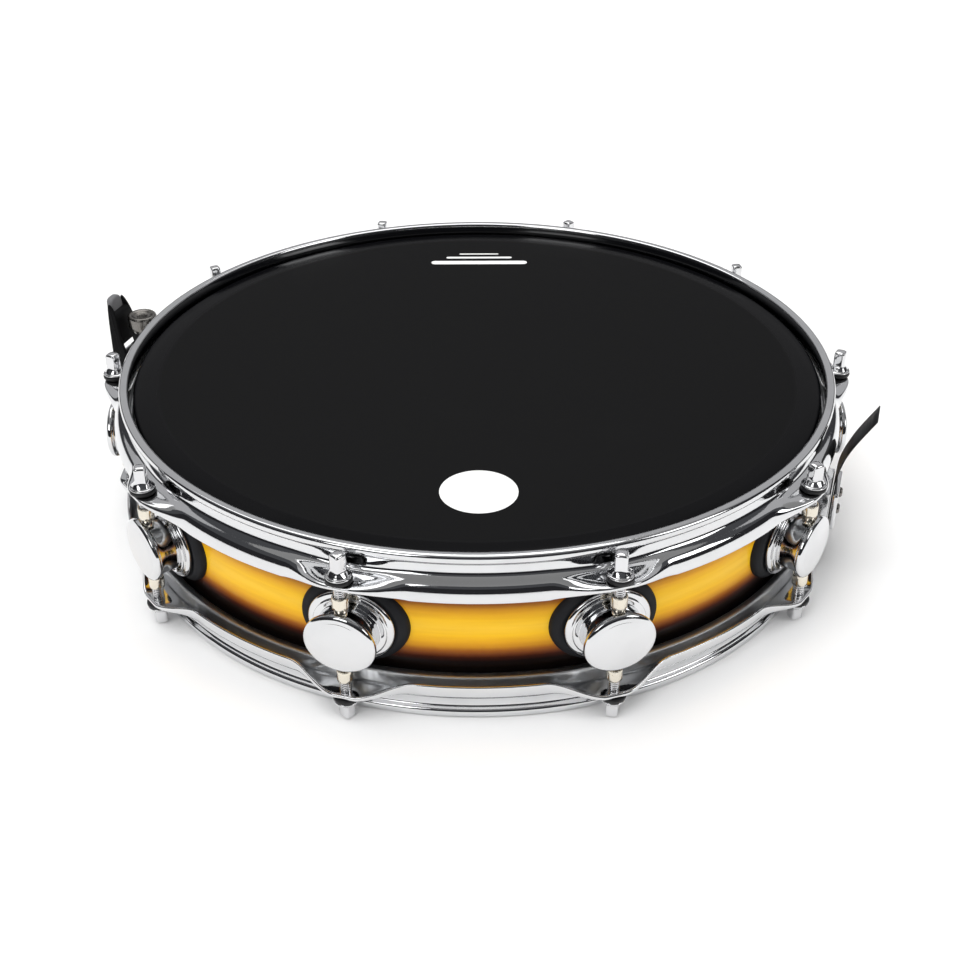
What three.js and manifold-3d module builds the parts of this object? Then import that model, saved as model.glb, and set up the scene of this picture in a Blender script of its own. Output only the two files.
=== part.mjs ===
// Piccolo snare drum: lacquered shell, two flanged steel hoops, ten double-ended
// lugs, twenty tension rods, a lever throw-off, a butt plate and a set of snare wires.
// Millimetres, +Z up. The origin is on the drum's axis, in the plane it stands on.
// Azimuths are in degrees, from the front (-Y) towards the right (+X).
import * as THREE from 'three';
import { mergeVertices } from 'three/addons/utils/BufferGeometryUtils.js';
import Module from 'manifold-3d';

const wasm = await Module();
wasm.setup();

// ---------- driving dimensions ----------
const shellRadius = 177.8;            // 14 inch shell
const shellDepth = 76.2;              // 3 inches, edge to edge
const shellWall = 6;
const bearingFlat = 1.6;              // outer round-over of the bearing edge
const rimRise = 6.15;                 // hoop crown above the bearing edge
const totalHeight = shellDepth + 2 * rimRise;
const midHeight = totalHeight / 2;
const lugCount = 10;
const firstLugAzimuth = 18;
const rodCircleRadius = shellRadius + 14.2;
const fitGap = 0.3;                   // between pieces that touch
const ringSteps = 60;                 // sections round every ring

const filmThickness = 0.5;
const collarGap = 0.35;
const fleshHoopWidth = 5.4;
const fleshHoopHeight = 8;

const hoopSheet = 2.3;
const hoopInnerRadius = shellRadius + 2.2;
const crownOutset = 5;                // crown flange, out from the inner wall
const crownDrop = 4;
const shoulderStart = 10.3;           // all three measured down from the crown
const shoulderEnd = 13.3;
const lipEnd = 21.4;
const shoulderOutset = 7.5;           // from the inner wall
const lipOutset = 9;
const earReach = 4.8;                 // ear past the rod circle
const earHalfAngle = 11;

const rodRadius = 2.7;
const rodFlangeRadius = 5.9;
const washerThickness = 2.1;
const rodFlangeThickness = 1;
const rodConeHeight = 2;
const rodSquare = 6;
const rodBelowCrown = 0.3;
const rodSides = 8;
const boreRadius = rodRadius + 0.45;
const earHoleRadius = rodRadius + 0.8;

const lugOval = 1.12;                 // width over height
const lugCapRadius = 14.6;
const lugWaistRadius = 11;
const lugCapReach = 6.5;              // cap face past the rod circle
const lugSides = 12;
const sleeveRadius = boreRadius + 0.65;
const gasketThickness = 2.3;          // at the lug's centre line
const gasketHalfWidth = 25.5;
const flangeMargin = 2.8;             // gasket seen round a lug's flange
const plateMargin = 2;                // the same above and below a base plate

const strainerAzimuth = -108;
const buttAzimuth = 72;
const strapWidth = 25;
const strapThickness = 0.7;
const gateWidth = 46;
const gateHeight = 9.4;

const plateHalfWidth = 13;            // base plates of the throw-off and the butt
const plateThickness = 3.2;
const bodyHalfWidth = 10;
const bodyReach = 31;                 // out from the shell
const bodyBottom = lipEnd + 9.6;
const bodyTop = totalHeight - lipEnd - 4.1;
const slideHalfWidth = 7;
const slideClearance = 0.35;
const slideTongueThickness = 2.5;
const slideLift = 9.65;               // slide block above the body's underside
const tongueBottom = gateHeight + 5.6;
const bodyRoof = 3;
const clampPlateThickness = 2.6;
const clampPlateHeight = 14;
const knobRadius = 8;
const knobHeight = 10.5;
const knobTop = totalHeight - 5.8;
const knobAxisOut = 7;                // from the rod circle
const knobScrewRadius = 2;
const knobScrewEnd = bodyBottom + slideLift + 5.35;
const pivotRadius = 2.4;
const pivotHeight = midHeight + 2.75;
const pivotSideGap = 0.4;
const leverCheek = 2.6;
const leverEye = 6;                   // round end of the cheeks, about the pivot
const leverTop = totalHeight + 4;
const leverBridge = midHeight + 22.75;               // underside of the handle between the cheeks
const leverThickness = 8;
const leverTipRound = 4;

const buttBlockBottom = lipEnd + 2.6;
const buttBlockTop = midHeight + 0.75;
const tailTop = totalHeight + 3.5;
const tailLean = 20;

const strandCount = 20;
const strandPitch = 2.05;
const strandRadius = 0.9;
const strandHalfLength = shellRadius - 38.8;
const endPlateInner = shellRadius - 43.8;
const endPlateOuter = shellRadius - 26.8;
const endPlateHalfWidth = 21.5;
const endPlateThickness = 1;

const ventAzimuth = 180;
const ventRadius = 5.2;
const ventFlangeRadius = 9;
const ventBore = 3.4;

// ---------- derived places ----------
const shellTop = midHeight + shellDepth / 2;
const fleshInner = shellRadius + collarGap + filmThickness + collarGap;
const fleshTopDrop = shoulderEnd + 0.8 * hoopSheet - 0.44;
const gasketHalfHeight = midHeight - fleshTopDrop - fleshHoopHeight - 0.55;
const lugFlangeRadius = gasketHalfHeight - flangeMargin;
const plateHalfHeight = gasketHalfHeight - plateMargin;
const earThickness = 2.1;
const earTop = totalHeight - shoulderEnd;
const sleeveReach = earTop - earThickness - midHeight - 5.85; // to the sleeve's end
const rodLength = earTop + fitGap - midHeight - 4.25;          // below the ear
const strapClearOfLip = 1.3;
const strapRadius = hoopInnerRadius + lipOutset + strapClearOfLip + slideTongueThickness + fitGap;
const strapLevel = rimRise - fitGap - filmThickness - 0.9 - strapThickness;

// ---------- helpers ----------
const group = new THREE.Group();
group.name = 'piccolo_snare_drum';

const finishes = {
  lacquer: { color: 0xf0a820, roughness: 0.15, metalness: 0 },
  chrome: { color: 0xd8dadc, roughness: 0.08, metalness: 1 },
  darkNickel: { color: 0x8a8782, roughness: 0.3, metalness: 1 },
  film: { color: 0x1c1c1e, roughness: 0.55, metalness: 0 },
  clearFilm: { color: 0xd8dde0, roughness: 0.2, metalness: 0 },
  aluminium: { color: 0xb8babd, roughness: 0.35, metalness: 1 },
  rubber: { color: 0x2c2d31, roughness: 0.8, metalness: 0 },
  plastic: { color: 0x151517, roughness: 0.45, metalness: 0 },
  steel: { color: 0xa9abad, roughness: 0.3, metalness: 1 },
};

function addPiece(name, geometry, finish, azimuth = null) {
  const mesh = new THREE.Mesh(geometry, new THREE.MeshStandardMaterial(finishes[finish]));
  mesh.name = name;
  if (azimuth !== null) mesh.rotation.z = THREE.MathUtils.degToRad(azimuth - 90);
  group.add(mesh);
  return mesh;
}

function toSolid(geometry) {
  const bare = geometry.index ? geometry.toNonIndexed() : geometry.clone();
  bare.deleteAttribute('normal');
  bare.deleteAttribute('uv');
  const merged = mergeVertices(bare, 1e-4);
  return new wasm.Manifold(new wasm.Mesh({
    numProp: 3,
    vertProperties: new Float32Array(merged.attributes.position.array),
    triVerts: new Uint32Array(merged.index.array),
  }));
}

function toGeometry(solid) {
  const mesh = solid.getMesh();
  const geometry = new THREE.BufferGeometry();
  geometry.setAttribute('position', new THREE.BufferAttribute(mesh.vertProperties, 3));
  geometry.setIndex(new THREE.BufferAttribute(mesh.triVerts, 1));
  return geometry;
}

function join(...geometries) {
  return toGeometry(geometries.map(toSolid).reduce((whole, next) => whole.add(next)));
}

function cut(geometry, ...tools) {
  return toGeometry(tools.map(toSolid).reduce((whole, next) => whole.subtract(next), toSolid(geometry)));
}

// A box given by its ranges along the local out, across and up axes.
function block(outFrom, outTo, acrossFrom, acrossTo, upFrom, upTo) {
  const box = new THREE.BoxGeometry(outTo - outFrom, acrossTo - acrossFrom, upTo - upFrom);
  return box.translate((outFrom + outTo) / 2, (acrossFrom + acrossTo) / 2, (upFrom + upTo) / 2);
}

// An upright cylinder standing at a radius on the local out axis.
function upright(radius, out, from, to, sides) {
  const cylinder = new THREE.CylinderGeometry(radius, radius, to - from, sides);
  return cylinder.rotateX(Math.PI / 2).translate(out, 0, (from + to) / 2);
}

// A cylinder lying along the local across axis.
function crosswise(radius, out, up, halfLength, sides) {
  return new THREE.CylinderGeometry(radius, radius, 2 * halfLength, sides).translate(out, 0, up);
}

// A cylinder lying along the local out axis.
function outward(radius, from, to, up, sides) {
  const cylinder = new THREE.CylinderGeometry(radius, radius, to - from, sides);
  return cylinder.rotateZ(Math.PI / 2).translate((from + to) / 2, 0, up);
}

// A closed section of [radius, height] points, in order round it, turned about the drum's axis.
function ring(sectionAt) {
  const first = sectionAt(0);
  const count = first.length;
  const positions = [];
  const triangles = [];
  for (let step = 0; step < ringSteps; step += 1) {
    const azimuth = (360 * step) / ringSteps;
    const angle = THREE.MathUtils.degToRad(azimuth - 90);
    for (const [radius, height] of sectionAt(azimuth)) {
      positions.push(radius * Math.cos(angle), radius * Math.sin(angle), height);
    }
    const next = (step + 1) % ringSteps;
    for (let point = 0; point < count; point += 1) {
      const after = (point + 1) % count;
      const a = step * count + point;
      const b = next * count + point;
      const c = next * count + after;
      const d = step * count + after;
      triangles.push(a, b, c, a, c, d);
    }
  }
  const geometry = new THREE.BufferGeometry();
  geometry.setAttribute('position', new THREE.BufferAttribute(new Float32Array(positions), 3));
  geometry.setIndex(triangles);
  return geometry;
}

// A disc-like piece: a profile of [radius, height] from the axis back to the axis.
function disc(profile) {
  const points = profile.map(([radius, height]) => new THREE.Vector2(radius, height));
  return new THREE.LatheGeometry(points, ringSteps).rotateX(Math.PI / 2);
}

function mirrored(profile) {
  return profile.map(([radius, height]) => [radius, totalHeight - height]).reverse();
}

// A plate whose outline lies in the local out-up plane, as thick across as asked.
function sidePlate(outline, acrossFrom, acrossTo) {
  const shape = new THREE.Shape(outline.map(([out, up]) => new THREE.Vector2(out, up)));
  const plate = new THREE.ExtrudeGeometry(shape, { depth: acrossTo - acrossFrom, bevelEnabled: false });
  return plate.rotateX(Math.PI / 2).translate(0, acrossTo, 0);
}

// A flat strap: a path in the out-up plane, given its thickness and width.
function strap(path) {
  const normals = path.map((point, index) => {
    const before = path[Math.max(index - 1, 0)];
    const after = path[Math.min(index + 1, path.length - 1)];
    const along = new THREE.Vector2(after[0] - before[0], after[1] - before[1]).normalize();
    return [-along.y * strapThickness / 2, along.x * strapThickness / 2];
  });
  const left = path.map(([out, up], index) => [out + normals[index][0], up + normals[index][1]]);
  const right = path.map(([out, up], index) => [out - normals[index][0], up - normals[index][1]]);
  return sidePlate([...right, ...left.reverse()], -strapWidth / 2, strapWidth / 2);
}

// A quarter turn from running inwards to running upwards.
function strapBend(radius, outAtTop, level, steps) {
  return Array.from({ length: steps + 1 }, (_, step) => {
    const angle = (Math.PI / 2) * (step / steps);
    return [outAtTop - radius + radius * Math.sin(angle), level + radius - radius * Math.cos(angle)];
  });
}

const lugAzimuths = Array.from({ length: lugCount }, (_, index) => {
  const azimuth = firstLugAzimuth + (360 / lugCount) * index;
  return azimuth > 180 ? azimuth - 360 : azimuth;
});

// ---------- shell ----------
const shellInner = shellRadius - shellWall;
const shellSection = [
  [shellInner, totalHeight - shellTop + shellWall - bearingFlat],
  [shellRadius - bearingFlat, totalHeight - shellTop],
  [shellRadius, totalHeight - shellTop + bearingFlat],
  [shellRadius, shellTop - bearingFlat],
  [shellRadius - bearingFlat, shellTop],
  [shellInner, shellTop - shellWall + bearingFlat],
];
const ventHole = outward(ventRadius + fitGap, shellInner - 5, shellRadius + 5, midHeight, 12)
  .rotateZ(THREE.MathUtils.degToRad(ventAzimuth - 90));
addPiece('shell', cut(ring(() => shellSection), ventHole), 'lacquer');

// ---------- air vent ----------
const ventTube = outward(ventRadius, shellInner - 2, shellRadius + fitGap + 1, midHeight, 12);
const ventFlange = outward(
  ventFlangeRadius, shellRadius + fitGap, shellRadius + fitGap + 1.8, midHeight, 16,
);
const ventThrough = outward(ventBore, shellInner - 5, shellRadius + 5, midHeight, 12);
addPiece('air_vent', cut(join(ventTube, ventFlange), ventThrough), 'chrome', ventAzimuth);

// ---------- heads ----------
const filmUnder = shellTop + fitGap;
const filmTop = filmUnder + filmThickness;
const collarInner = shellRadius + collarGap;
const collarOuter = collarInner + filmThickness;
const collarEnd = totalHeight - fleshTopDrop - fleshHoopHeight / 2;
const discEdge = shellRadius - bearingFlat + 0.4;
const discProfile = [
  [0, filmUnder],
  [discEdge, filmUnder],
  [discEdge, filmTop],
  [0, filmTop],
];
// The same film turned down over the bearing edge, into the flesh hoop.
const collarStart = discEdge + fitGap;
const collarSection = [
  [collarStart, filmUnder - 0.46],
  [collarInner, filmUnder - bearingFlat],
  [collarInner, collarEnd],
  [collarOuter, collarEnd],
  [collarOuter, filmTop - bearingFlat],
  [collarStart, filmTop - 0.17],
];
addPiece('batter_head', disc(discProfile), 'film');
addPiece('batter_head_collar', ring(() => collarSection), 'film');
addPiece('snare_head', disc(mirrored(discProfile)), 'clearFilm');
addPiece('snare_head_collar', ring(() => mirrored(collarSection)), 'clearFilm');

// ---------- flesh hoops ----------
const fleshTop = totalHeight - fleshTopDrop;
const fleshSection = [
  [fleshInner, fleshTop - fleshHoopHeight],
  [fleshInner + fleshHoopWidth, fleshTop - fleshHoopHeight],
  [fleshInner + fleshHoopWidth, fleshTop],
  [fleshInner, fleshTop],
];
addPiece('batter_flesh_hoop', ring(() => fleshSection), 'aluminium');
addPiece('snare_flesh_hoop', ring(() => mirrored(fleshSection)), 'aluminium');

// ---------- hoops ----------
// Between the rods the shoulder turns down into a lip; at each rod it runs out flat into an ear.
function earAmount(azimuth) {
  const pitch = 360 / lugCount;
  const offset = Math.abs(((azimuth - firstLugAzimuth) % pitch + pitch * 1.5) % pitch - pitch / 2);
  return offset >= earHalfAngle ? 0 : 0.5 + 0.5 * Math.cos((Math.PI * offset) / earHalfAngle);
}

function hoopSection(azimuth) {
  const ear = earAmount(azimuth);
  const mix = THREE.MathUtils.lerp;
  const inner = hoopInnerRadius;
  const wall = inner + hoopSheet;
  const earEdge = rodCircleRadius + earReach;
  const lipOuter = mix(inner + lipOutset, earEdge, ear);
  const lipInner = mix(inner + lipOutset - hoopSheet, earEdge, ear);
  const lipDrop = mix(lipEnd, shoulderEnd + earThickness, ear);
  const shoulderOut = mix(inner + shoulderOutset, inner + shoulderOutset - 2, ear);
  const underOut = inner + shoulderOutset - hoopSheet + 0.6;
  const underDrop = shoulderEnd + hoopSheet * 0.8;
  const points = [
    [inner, 1.2],
    [inner, shoulderStart + 1],
    [underOut, mix(underDrop, shoulderEnd + earThickness, ear)],
    [lipInner, lipDrop],
    [lipOuter + 0.4 * ear, lipDrop - 0.4 * ear],
    [mix(inner + shoulderOutset + 0.4, earEdge, ear), mix(shoulderEnd + 0.9, shoulderEnd, ear)],
    [shoulderOut, shoulderEnd],
    [wall + 0.6, shoulderStart + 0.4],
    [wall, crownDrop + 1.6],
    [inner + crownOutset - 0.6, crownDrop + 0.9],
    [inner + crownOutset, crownDrop - 0.6],
    [inner + 2.6, 0],
    [inner + 0.6, 0],
  ];
  return points.map(([radius, drop]) => [radius, totalHeight - drop]);
}

function rodHoles(from, to) {
  return lugAzimuths.map((azimuth) => upright(earHoleRadius, rodCircleRadius, from, to, rodSides)
    .rotateZ(THREE.MathUtils.degToRad(azimuth - 90)));
}

addPiece('batter_hoop', cut(ring(hoopSection), ...rodHoles(midHeight, totalHeight)), 'chrome');
const gates = [strainerAzimuth, buttAzimuth].map((azimuth) => block(
  hoopInnerRadius - 4, hoopInnerRadius + crownOutset + 4, -gateWidth / 2, gateWidth / 2, -2, gateHeight,
).rotateZ(THREE.MathUtils.degToRad(azimuth - 90)));
const snareHoopRing = ring((azimuth) => mirrored(hoopSection(azimuth)));
addPiece('snare_hoop', cut(snareHoopRing, ...rodHoles(0, midHeight), ...gates), 'chrome');

// ---------- tension rods ----------
// Profile up from the tip, with the nylon washer as the thick part of the flange.
const seat = earTop + fitGap;
const flangeTop = seat + washerThickness + rodFlangeThickness;
const squareBottom = flangeTop + rodConeHeight;
const rodTop = totalHeight - rodBelowCrown;
const rodProfile = [
  [0, seat - rodLength],
  [rodRadius, seat - rodLength],
  [rodRadius, seat],
  [rodFlangeRadius, seat],
  [rodFlangeRadius, flangeTop],
  [rodSquare / 2, squareBottom],
  [0, squareBottom],
];

function tensionRod() {
  const points = rodProfile.map(([radius, height]) => new THREE.Vector2(radius, height));
  const turned = new THREE.LatheGeometry(points, rodSides).rotateX(Math.PI / 2);
  turned.translate(rodCircleRadius, 0, 0);
  const half = rodSquare / 2;
  const square = block(
    rodCircleRadius - half, rodCircleRadius + half, -half, half, squareBottom - rodConeHeight, rodTop,
  );
  return join(turned, square);
}

// ---------- lugs ----------
const lugBack = shellRadius + fitGap + gasketThickness + fitGap;
const capFace = rodCircleRadius + lugCapReach;
const lugProfile = [
  [lugBack, 0],
  [lugBack, lugFlangeRadius],
  [lugBack + 2.2, lugFlangeRadius],
  [lugBack + 3.6, lugFlangeRadius - 2],
  [lugBack + 4.8, lugWaistRadius + 1.8],
  [lugBack + 7.4, lugWaistRadius],
  [capFace - 4, lugWaistRadius + 1.4],
  [capFace - 3.2, lugCapRadius],
  [capFace - 1, lugCapRadius - 1],
  [capFace - 0.3, lugCapRadius - 5],
  [capFace, 0],
];

function lugBody() {
  const points = lugProfile.map(([out, radius]) => new THREE.Vector2(radius, out));
  const spool = new THREE.LatheGeometry(points, lugSides)
    .rotateZ(-Math.PI / 2)
    .rotateX(Math.PI / lugSides)
    .scale(1, lugOval, 1)
    .translate(0, 0, midHeight);
  const sleeves = upright(
    sleeveRadius, rodCircleRadius, midHeight - sleeveReach, midHeight + sleeveReach, rodSides,
  );
  const bore = upright(boreRadius, rodCircleRadius, 0, totalHeight, rodSides);
  return cut(join(spool, sleeves), bore);
}

// The gasket is an oval pad, hollowed to sit on the shell.
function gasket() {
  const outline = new THREE.Shape();
  outline.absellipse(0, 0, gasketHalfWidth, gasketHalfHeight, 0, 2 * Math.PI, false, 0);
  const depth = 10;
  const pad = new THREE.ExtrudeGeometry(outline, { depth, bevelEnabled: false, curveSegments: 9 })
    .rotateX(Math.PI / 2)
    .rotateZ(Math.PI / 2)
    .translate(shellRadius + fitGap + gasketThickness - depth, 0, midHeight);
  const drum = upright(shellRadius + fitGap, 0, 0, totalHeight, 2 * ringSteps);
  return cut(pad, drum);
}

lugAzimuths.forEach((azimuth, index) => {
  const number = String(index + 1).padStart(2, '0');
  addPiece(`lug_${number}`, lugBody(), 'chrome', azimuth);
  addPiece(`lug_gasket_${number}`, gasket(), 'rubber', azimuth);
  addPiece(`tension_rod_batter_${number}`, tensionRod(), 'chrome', azimuth);
  const snareRod = tensionRod().rotateX(Math.PI).translate(0, 0, totalHeight);
  addPiece(`tension_rod_snare_${number}`, snareRod, 'chrome', azimuth);
});

// ---------- throw-off ----------
const shellFace = shellRadius + fitGap;
const drumBlank = upright(shellFace, 0, 0, totalHeight, 2 * ringSteps);
const tongueInner = strapRadius - fitGap - slideTongueThickness;
const knobAxis = rodCircleRadius + knobAxisOut;
const slideOuter = knobAxis + 4;
const bodyOuter = shellRadius + bodyReach;
const slotOuter = slideOuter + slideClearance;
const pivotAxis = (slotOuter + bodyOuter) / 2;
const cheekInner = bodyHalfWidth + pivotSideGap;
const cheekOuter = cheekInner + leverCheek;

function basePlate() {
  return block(
    shellRadius - 3, shellFace + plateThickness,
    -plateHalfWidth, plateHalfWidth, midHeight - plateHalfHeight, midHeight + plateHalfHeight,
  );
}

const bodyBlock = block(shellFace + 1, bodyOuter, -bodyHalfWidth, bodyHalfWidth, bodyBottom, bodyTop);
const slideSlot = block(
  tongueInner - slideClearance, slotOuter,
  -slideHalfWidth - slideClearance, slideHalfWidth + slideClearance, bodyBottom - 5, bodyTop - bodyRoof,
);
const screwHole = upright(
  knobScrewRadius + 2 * slideClearance, knobAxis, bodyTop - bodyRoof - 3, bodyTop + 5, rodSides,
);
const pivotPin = crosswise(pivotRadius, pivotAxis, pivotHeight, cheekOuter + 0.8, 10);
addPiece(
  'strainer_body',
  join(cut(join(basePlate(), bodyBlock), slideSlot, screwHole, drumBlank), pivotPin),
  'chrome', strainerAzimuth,
);

// The slide runs in the body's slot; its tongue carries the strap below the body.
const slideTop = bodyTop - bodyRoof - slideClearance;
const slideBlock = block(
  tongueInner, slideOuter, -slideHalfWidth, slideHalfWidth, bodyBottom + slideLift, slideTop,
);
const tongueOuter = tongueInner + slideTongueThickness;
const tongueNeck = block(
  tongueInner, tongueOuter, -slideHalfWidth, slideHalfWidth, tongueBottom + 1, bodyBottom + slideLift + 2,
);
const clampTop = bodyBottom - 0.8;
const tongueFoot = block(
  tongueInner, tongueOuter, -plateHalfWidth, plateHalfWidth, tongueBottom, clampTop,
);
const slideScrewHole = upright(
  knobScrewRadius + 2 * slideClearance, knobAxis, knobScrewEnd - 2, slideTop + 2, rodSides,
);
addPiece(
  'strainer_slide',
  cut(join(slideBlock, tongueNeck, tongueFoot), slideScrewHole),
  'steel', strainerAzimuth,
);
const strainerClampFace = strapRadius + strapThickness + fitGap;
addPiece(
  'strainer_clamp_plate',
  block(
    strainerClampFace, strainerClampFace + clampPlateThickness,
    -plateHalfWidth, plateHalfWidth, clampTop - clampPlateHeight, clampTop,
  ),
  'chrome', strainerAzimuth,
);

// The knob is turned with its screw in one piece, and is dished on top.
const knobProfile = [
  [0, knobScrewEnd],
  [knobScrewRadius, knobScrewEnd],
  [knobScrewRadius, knobTop - knobHeight],
  [knobRadius - 2.2, knobTop - knobHeight],
  [knobRadius, knobTop - knobHeight + 3.5],
  [knobRadius, knobTop - 1],
  [knobRadius - 1.2, knobTop],
  [knobRadius - 3.4, knobTop - 1.4],
  [0, knobTop - 1.4],
].map(([radius, height]) => new THREE.Vector2(radius, height));
addPiece(
  'strainer_tension_knob',
  new THREE.LatheGeometry(knobProfile, 16).rotateX(Math.PI / 2).translate(knobAxis, 0, 0),
  'darkNickel', strainerAzimuth,
);

// Two cheeks straddle the body and carry a handle with a rounded tip.
const handleInner = bodyOuter - 1.6;
const handleOuter = handleInner + leverThickness;
const cheekOutline = [
  [pivotAxis - leverEye, pivotHeight - 2],
  [pivotAxis - leverEye * 0.6, pivotHeight - leverEye],
  [pivotAxis + leverEye * 0.6, pivotHeight - leverEye],
  [pivotAxis + leverEye, pivotHeight - 2],
  [handleOuter, leverBridge - 4],
  [handleOuter, leverTop - leverTipRound - 4],
  [handleInner + 1.5, leverTop - leverTipRound - 4],
  [handleInner, leverBridge],
];
const handleOutline = [
  [handleInner, leverBridge],
  [handleOuter, leverBridge],
  [handleOuter, leverTop - leverTipRound],
  [handleOuter - leverTipRound * 0.35, leverTop - leverTipRound * 0.35],
  [handleOuter - leverTipRound, leverTop],
  [handleInner + leverTipRound * 0.8, leverTop],
  [handleInner, leverTop - leverTipRound * 0.8],
];
const leverEyeRadius = pivotRadius + slideClearance + 0.1;
const leverEyeHole = crosswise(leverEyeRadius, pivotAxis, pivotHeight, cheekOuter + 5, 10);
addPiece(
  'strainer_lever',
  cut(
    join(
      sidePlate(cheekOutline, cheekInner, cheekOuter),
      sidePlate(cheekOutline, -cheekOuter, -cheekInner),
      sidePlate(handleOutline, -cheekOuter + 1, cheekOuter - 1),
    ),
    leverEyeHole,
  ),
  'plastic', strainerAzimuth,
);

// ---------- butt end ----------
const buttStrapRadius = hoopInnerRadius + lipOutset + strapClearOfLip;
const buttBlock = block(
  shellFace + 1, buttStrapRadius - fitGap, -plateHalfWidth, plateHalfWidth, buttBlockBottom, buttBlockTop,
);
addPiece('butt_body', cut(join(basePlate(), buttBlock), drumBlank), 'chrome', buttAzimuth);
const buttClampFace = buttStrapRadius + strapThickness + fitGap;
addPiece(
  'butt_clamp_plate',
  block(
    buttClampFace, buttClampFace + clampPlateThickness,
    -plateHalfWidth, plateHalfWidth, buttBlockBottom, buttBlockTop,
  ),
  'chrome', buttAzimuth,
);

// ---------- straps ----------
const strapInnerEnd = strandHalfLength + 1.5;
const strapLine = strapLevel + strapThickness / 2;
const strapBendRadius = 5;
const strainerStrapOut = strapRadius + strapThickness / 2;
addPiece(
  'snare_strap_strainer',
  strap([
    [strapInnerEnd, strapLine],
    ...strapBend(strapBendRadius, strainerStrapOut, strapLine, 5),
    [strainerStrapOut, clampTop - 0.2],
  ]),
  'plastic', strainerAzimuth,
);
const buttStrapOut = buttStrapRadius + strapThickness / 2;
const tailStart = buttBlockTop + 1;
const tailPath = Array.from({ length: 7 }, (_, step) => {
  const t = step / 6;
  return [buttStrapOut + tailLean * t ** 1.6, tailStart + (tailTop - tailStart) * t];
});
addPiece(
  'snare_strap_butt',
  strap([
    [strapInnerEnd, strapLine],
    ...strapBend(strapBendRadius, buttStrapOut, strapLine, 5),
    ...tailPath,
  ]),
  'plastic', buttAzimuth,
);

// ---------- snare wires ----------
const plateTop = strapLevel - fitGap;
const strandLine = rimRise - 2 * fitGap - filmThickness - strandRadius;
const endPlates = [-1, 1].map((side) => block(
  Math.min(side * endPlateInner, side * endPlateOuter), Math.max(side * endPlateInner, side * endPlateOuter),
  -endPlateHalfWidth, endPlateHalfWidth, plateTop - endPlateThickness, plateTop,
));
const strands = Array.from({ length: strandCount }, (_, index) => {
  const across = (index - (strandCount - 1) / 2) * strandPitch;
  return outward(strandRadius, -strandHalfLength, strandHalfLength, strandLine, 4).translate(0, across, 0);
});
addPiece('snare_wires', join(...endPlates, ...strands), 'steel', buttAzimuth);

export default group;
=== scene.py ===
"""Dresses a packed snare drum: chrome hoops, round lugs, a burst lacquer shell, film heads and snares."""

import math

import bpy
import numpy as np
from mathutils import Matrix, Vector


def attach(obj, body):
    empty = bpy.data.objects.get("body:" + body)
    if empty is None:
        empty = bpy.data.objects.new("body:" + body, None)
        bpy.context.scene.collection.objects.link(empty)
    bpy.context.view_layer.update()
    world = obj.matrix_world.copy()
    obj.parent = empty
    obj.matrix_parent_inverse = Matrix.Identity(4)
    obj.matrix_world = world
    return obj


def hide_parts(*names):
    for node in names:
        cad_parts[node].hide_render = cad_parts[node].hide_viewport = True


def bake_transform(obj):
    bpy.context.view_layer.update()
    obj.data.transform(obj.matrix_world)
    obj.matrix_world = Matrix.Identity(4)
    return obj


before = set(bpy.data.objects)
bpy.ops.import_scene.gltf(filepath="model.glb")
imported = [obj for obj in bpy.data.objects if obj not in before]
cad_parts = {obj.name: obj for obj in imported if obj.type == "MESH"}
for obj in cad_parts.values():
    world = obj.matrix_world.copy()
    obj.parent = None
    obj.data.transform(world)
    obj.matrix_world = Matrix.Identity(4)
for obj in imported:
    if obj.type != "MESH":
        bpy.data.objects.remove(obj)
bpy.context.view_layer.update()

bl_info = {
    "name": "Snare Drum Finish",
    "version": (1, 0, 0),
    "blender": (4, 5, 0),
    "location": "3D View > Sidebar > Snare Drum",
    "description": "Builds the visible pieces and finishes of a shallow snare drum around its frame",
    "category": "Object",
}

MM = 0.001

# Lengths below are in millimetres. Heights are above the plane the drum stands on.
LUG_AZIMUTHS = (18, 54, 90, 126, 162, -162, -126, -90, -54, -18)
THROW_OFF_AZIMUTH = -108
BUTT_AZIMUTH = 72
VENT_AZIMUTH = 180
HEIGHT = 88.5
MID = HEIGHT / 2
SHELL_RADIUS = 177.8
SHELL_INSIDE = 171.8
SHELL_BOTTOM, SHELL_TOP = 6.15, 82.35
HEAD_TOP = 83.15
ROD_CIRCLE = 192.0
EAR_TOP = HEIGHT - 13.3
STRAP_LEVEL = 3.75
BUTT_STRAP_OUT = 190.65
THROW_OFF_STRAP_OUT = 193.45
CARD_DISTANCE = 6.0  # metres, as the stage's other places are
FLOOR_RADIUS = 40.0
FLOOR_DROP = 0.0002
CARD_COLUMNS, CARD_ROWS = 49, 5
KNOB_OUT = 199.0


def axes(azimuth):
    """The local out and across directions at an azimuth, which is counted from -Y towards +X."""
    angle = math.radians(azimuth - 90)
    return np.array([math.cos(angle), math.sin(angle), 0.0]), np.array([-math.sin(angle), math.cos(angle), 0.0])


def at(azimuth, out, across, up):
    """Points in the drum's frame: out along the azimuth, across it, and up."""
    along, side = axes(azimuth)
    out, across, up = np.broadcast_arrays(np.asarray(out, float), across, up)
    return out[..., None] * along + across[..., None] * side + up[..., None] * np.array([0.0, 0.0, 1.0])


# ---------- surfaces on grids ----------
def grid_quads(rows, columns, rows_close):
    """Quads between neighbouring grid points; columns always close, rows close if asked."""
    row = np.arange(rows if rows_close else rows - 1)
    first, column = (part.ravel() for part in np.meshgrid(row, np.arange(columns), indexing="ij"))
    second, after = (first + 1) % rows, (column + 1) % columns
    return np.stack([
        first * columns + column, second * columns + column, second * columns + after, first * columns + after,
    ], axis=-1)


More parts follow.
